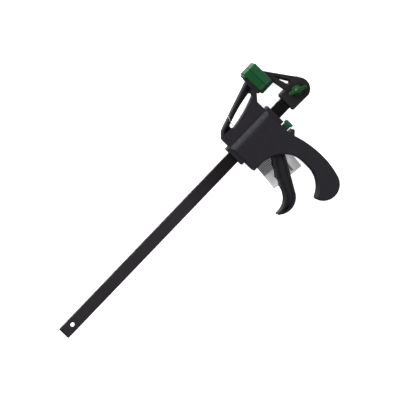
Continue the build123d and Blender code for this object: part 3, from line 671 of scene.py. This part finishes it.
# ---- springs, wound by a Geometry Nodes tree -------------------------------------------
def coil_tree(points=220, sides=14):
    """Wire wound about X from a seat: its turns lie closer together at both ends."""
    tree = bpy.data.node_groups.new("wound_spring", "GeometryNodeTree")
    for name, kind, default in (
        ("Turns", "NodeSocketFloat", 5.0),
        ("Radius", "NodeSocketFloat", 9.0 * MM),
        ("Length", "NodeSocketFloat", 17.0 * MM),
        ("Wire", "NodeSocketFloat", 1.6 * MM),
        ("Closing", "NodeSocketFloat", 0.4),
        ("Seat", "NodeSocketVector", (0.0, 0.0, 0.0)),
        ("Material", "NodeSocketMaterial", None),
    ):
        made = tree.interface.new_socket(name, in_out="INPUT", socket_type=kind)
        if default is not None:
            made.default_value = default
    tree.interface.new_socket("Geometry", in_out="OUTPUT", socket_type="NodeSocketGeometry")

    add = partial(add_node, tree)
    given = add("NodeGroupInput").outputs
    half_wire = add("ShaderNodeMath", {0: given["Wire"], 1: 0.5}, operation="MULTIPLY")
    # along the axis, slower at both ends
    share = add("GeometryNodeSplineParameter").outputs["Factor"]
    eased = add("ShaderNodeMapRange", {"Value": share}, interpolation_type="SMOOTHSTEP")
    along = add(
        "ShaderNodeMix", {"Factor": given["Closing"], "A": share, "B": eased},
        data_type="FLOAT",
    )
    span = add("ShaderNodeMath", {0: given["Length"], 1: given["Wire"]}, operation="SUBTRACT")
    x = add("ShaderNodeMath", {0: along, 1: span, 2: half_wire}, operation="MULTIPLY_ADD")
    # round the axis
    whole = add("ShaderNodeMath", {0: given["Turns"], 1: 2 * math.pi}, operation="MULTIPLY")
    turn = add("ShaderNodeMath", {0: share, 1: whole}, operation="MULTIPLY")
    cosine = add("ShaderNodeMath", {0: turn}, operation="COSINE")
    sine = add("ShaderNodeMath", {0: turn}, operation="SINE")
    y = add("ShaderNodeMath", {0: given["Radius"], 1: cosine}, operation="MULTIPLY")
    z = add("ShaderNodeMath", {0: given["Radius"], 1: sine}, operation="MULTIPLY")
    place = add("ShaderNodeCombineXYZ", {"X": x, "Y": y, "Z": z})
    place = add("ShaderNodeVectorMath", {0: place, 1: given["Seat"]}, operation="ADD")
    # the wire itself
    line = add("GeometryNodeCurvePrimitiveLine")
    line = add("GeometryNodeResampleCurve", {"Curve": line, "Count": points})
    coil = add("GeometryNodeSetPosition", {"Geometry": line, "Position": place})
    section = add(
        "GeometryNodeCurvePrimitiveCircle", {"Resolution": sides, "Radius": half_wire}
    )
    wire = add(
        "GeometryNodeCurveToMesh", {"Curve": coil, "Profile Curve": section, "Fill Caps": True}
    )
    wire = add("GeometryNodeSetShadeSmooth", {"Geometry": wire})
    wire = add("GeometryNodeRealizeInstances", {"Geometry": wire})
    wire = add("GeometryNodeSetMaterial", {"Geometry": wire, "Material": given["Material"]})
    add("NodeGroupOutput", {"Geometry": wire})
    return tree


def grown(tree, name, **values):
    """Mesh that a Geometry Nodes tree makes from named inputs."""
    inputs = {
        item.identifier: values[item.name]
        for item in tree.interface.items_tree
        if item.in_out == "INPUT" and item.name in values
    }
    return through_modifier(
        bpy.data.meshes.new(name + "_empty"), "NODES", name, node_group=tree, **inputs
    )


wound = coil_tree()
# turns, wire in millimetres, and the share of its length that a spring has left when
# its joint is at the far limit
for node, turns, wire, joint, keep in (
    ("drive_spring", 5.0, 1.6, "drive_push", 0.766),
    ("brake_spring", 4.0, 0.8, "brake_release", 0.65),
):
    low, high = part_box(node)
    mesh = grown(
        wound, node + "_wire", Turns=turns, Radius=(high.z - low.z - wire * MM) / 2,
        Length=high.x - low.x, Wire=wire * MM,
        Seat=(low.x, (low.y + high.y) / 2, 0.0), Material=spring_steel,
    )
    coil = piece(node + "_coil", mesh, spring_steel, "moving_jaw", node)
    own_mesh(coil)


# ---- hang tag on its nylon loop, in millimetres ----------------------------------------------
TAG_SIZE = (44.4, 86.0)
TAG_TILT = math.radians(-6.5)
TAG_BOW = 0.7
TAG_BOWED = 0.6                  # share of the card's height that bows, from its free end
TAG_STRIP = 4.0                  # width of the strips that the card bends by


def bowed_card(node):
    """The tag's own outline cut into strips, bowed a little and given a flat UV map."""
    low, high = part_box(node)
    lean = Matrix.Rotation(TAG_TILT, 3, "Z")
    # leaning this way, the card's lower left corner touches the box's left side
    corner = Vector((low.x, high.y - math.cos(TAG_TILT) * TAG_SIZE[1] * MM, 0.0))
    bm = merged_copy(node)
    for axis, size in enumerate(TAG_SIZE):
        normal = lean.col[axis]
        for cut in range(1, int(size / TAG_STRIP) + 1):
            bmesh.ops.bisect_plane(
                bm, geom=bm.verts[:] + bm.edges[:] + bm.faces[:],
                plane_co=corner + normal * (cut * TAG_STRIP * MM), plane_no=normal,
            )
    card_map = bm.loops.layers.uv.new("card")
    for face in bm.faces:
        for loop in face.loops:
            across, up, _ = lean.transposed() @ (loop.vert.co - corner) / MM
            loop[card_map].uv = (across, up)
    for vert in bm.verts:
        across, up, _ = lean.transposed() @ (vert.co - corner) / MM
        free_end = max(0.0, 1.0 - up / (TAG_BOWED * TAG_SIZE[1]))
        # the sides bow by a third more than the middle
        side = 2 * across / TAG_SIZE[0] - 1
        vert.co.z -= TAG_BOW * MM * free_end ** 2 * (0.75 + 0.25 * side ** 2)
    return finish_mesh(bm, "card")


piece("hang_tag_card", bowed_card("hang_tag"), card, "moving_jaw", "hang_tag")

LOOP_DIAMETER = 0.8
# through the tag's hole, behind the arm, over its rim and back through the slot
LOOP_ROUTE = (
    (324.0, 12.0, -12.8),
    (327.0, 20.0, -12.8),
    (327.6, 30.5, -12.6),
    (325.0, 40.5, -12.5),
    (320.5, 45.0, -5.0),
    (317.0, 44.5, 5.5),
    (312.8, 38.0, 12.5),
    (310.8, 29.0, 10.0),
    (311.4, 27.6, -9.5),
    (315.5, 19.5, -12.6),
    (322.6, 12.0, -12.8),
)


def nylon_loop():
    """Clear filament that carries the tag: one smooth line along the route."""
    curve = bpy.data.curves.new("tag_loop_line", "CURVE")
    curve.dimensions = "3D"
    curve.bevel_depth = LOOP_DIAMETER / 2 * MM
    curve.bevel_resolution = 4
    curve.resolution_u = 12
    curve.use_fill_caps = True
    spline = curve.splines.new("NURBS")
    spline.points.add(len(LOOP_ROUTE) - 1)
    for point, place in zip(spline.points, LOOP_ROUTE):
        point.co = (*(Vector(place) * MM), 1.0)
    spline.order_u = 3
    spline.use_endpoint_u = True
    made = piece("tag_loop_line", curve, filament, "moving_jaw", "tag_loop")


nylon_loop()


# ---- light table, studio light and camera, in metres -----------------------------------
def light_table(z, centre=(0.2, -0.03), size=8.0, glow=0.95):
    """White backlit table top that the clamp lies on."""
    bm = bmesh.new()
    bmesh.ops.create_grid(bm, x_segments=1, y_segments=1, size=size / 2)
    mesh = bpy.data.meshes.new("table_top")
    bm.to_mesh(mesh)
    bm.free()
    mesh.transform(Matrix.Translation((*centre, z)))
    top = bpy.data.objects.new("table_top", mesh)
    bpy.context.scene.collection.objects.link(top)
    acrylic = Finish("backlit_acrylic", {
        "Base Color": linear("#f4f4f4"), "Roughness": 0.9, "Specular IOR Level": 0.0,
        "Emission Color": linear("#ffffff"), "Emission Strength": glow,
    })
    mesh.materials.append(acrylic.material)
    # the dark clamp mirrors the studio, not the table's glow
    top.visible_glossy = False
    top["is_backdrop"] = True


def studio_world(ceiling=0.16, bright=1.0, shaded=0.08, mirrored=1.4, unlit=0.03):
    """A white wall beyond the pads and the fixed jaw, shade on the grip's side and a dim
    ceiling. Steep walls mirror what lies below: bright towards the pads and the fixed
    jaw, unlit on the grip's side."""
    world = bpy.data.worlds.new("studio")
    world.use_nodes = True
    bpy.context.scene.world = world
    tree = world.node_tree
    add = partial(add_node, tree)
    direction = add("ShaderNodeTexCoord").outputs["Generated"]

    def towards(side, start, end, before, after):
        """Brightness that goes from before to after as the direction turns to a side."""
        facing = add("ShaderNodeVectorMath", {0: direction, 1: side}, operation="DOT_PRODUCT")
        return add(
            "ShaderNodeMapRange",
            {"Value": facing, "From Min": start, "From Max": end, "To Min": before,
             "To Max": after},
            interpolation_type="SMOOTHSTEP",
        )

    pads_side, lit_side, overhead = (0.35, 0.94, 0.0), (0.7, 0.7, 0.0), (0.0, 0.0, 1.0)
    wall = towards(pads_side, -0.35, 0.15, shaded, bright)
    beneath = towards(lit_side, 0.05, 0.25, unlit, mirrored)
    above = towards(overhead, 0.2, 0.62, wall, ceiling)
    background = tree.nodes["Background"]
    give(tree, background.inputs["Color"], linear("#ffffff"))
    give(tree, background.inputs["Strength"], towards(overhead, -0.3, 0.0, beneath, above))


def soft_box(name, place, aim, size, power):
    """Rectangular lamp at a place, turned towards its aim."""
    data = bpy.data.lights.new(name, "AREA")
    data.shape = "RECTANGLE"
    data.size, data.size_y = size
    data.energy = power
    lamp = bpy.data.objects.new(name, data)
    bpy.context.scene.collection.objects.link(lamp)
    lamp.location = place
    lamp.rotation_euler = (Vector(aim) - Vector(place)).to_track_quat("-Z", "Y").to_euler()


TABLE_GAP = 0.05 * MM            # keeps the pads' sides off the table top
light_table(cad_low.z - TABLE_GAP)
studio_world()
soft_box("key_light", (0.1, 1.3, 0.9), aim=(0.25, 0.0, 0.0), size=(1.2, 0.6), power=34.0)
soft_box("low_light", (0.65, -0.95, 0.98), aim=(0.35, 0.0, 0.0), size=(0.4, 0.3), power=5.2)

VIEW_WIDTH = 0.4884              # across the view, at the clamp
VIEW_PIXELS = 400.0
HOLE_PIXEL = (72.45, 324.49)     # where the hanging hole's centre lies in the view
BAR_ANGLE = math.radians(46.25)  # how steeply the bar rises in the view
CAMERA_SIDE = Vector((-0.049, 0.148, 1.0))
CAMERA_DISTANCE = 4.9


def camera_above():
    """Camera that looks almost straight down, leaning towards the pads and the tail."""
    backwards = CAMERA_SIDE.normalized()
    across = Vector((math.cos(BAR_ANGLE), -math.sin(BAR_ANGLE), 0.0))
    right = (across - across.dot(backwards) * backwards).normalized()
    up = backwards.cross(right)
    to_middle = right * (VIEW_PIXELS / 2 - HOLE_PIXEL[0]) + up * (HOLE_PIXEL[1] - VIEW_PIXELS / 2)
    aim = to_middle * (VIEW_WIDTH / VIEW_PIXELS)
    data = bpy.data.cameras.new("camera")
    data.sensor_width = 36.0
    data.lens = data.sensor_width * CAMERA_DISTANCE / VIEW_WIDTH
    data.clip_end = 50.0
    camera = bpy.data.objects.new("camera", data)
    bpy.context.scene.collection.objects.link(camera)
    turned = Matrix((right, up, backwards)).transposed().to_4x4()
    camera.matrix_world = Matrix.Translation(aim + backwards * CAMERA_DISTANCE) @ turned
    bpy.context.scene.camera = camera


camera_above()
bpy.context.scene.view_settings.view_transform = "Standard"

low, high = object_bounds()
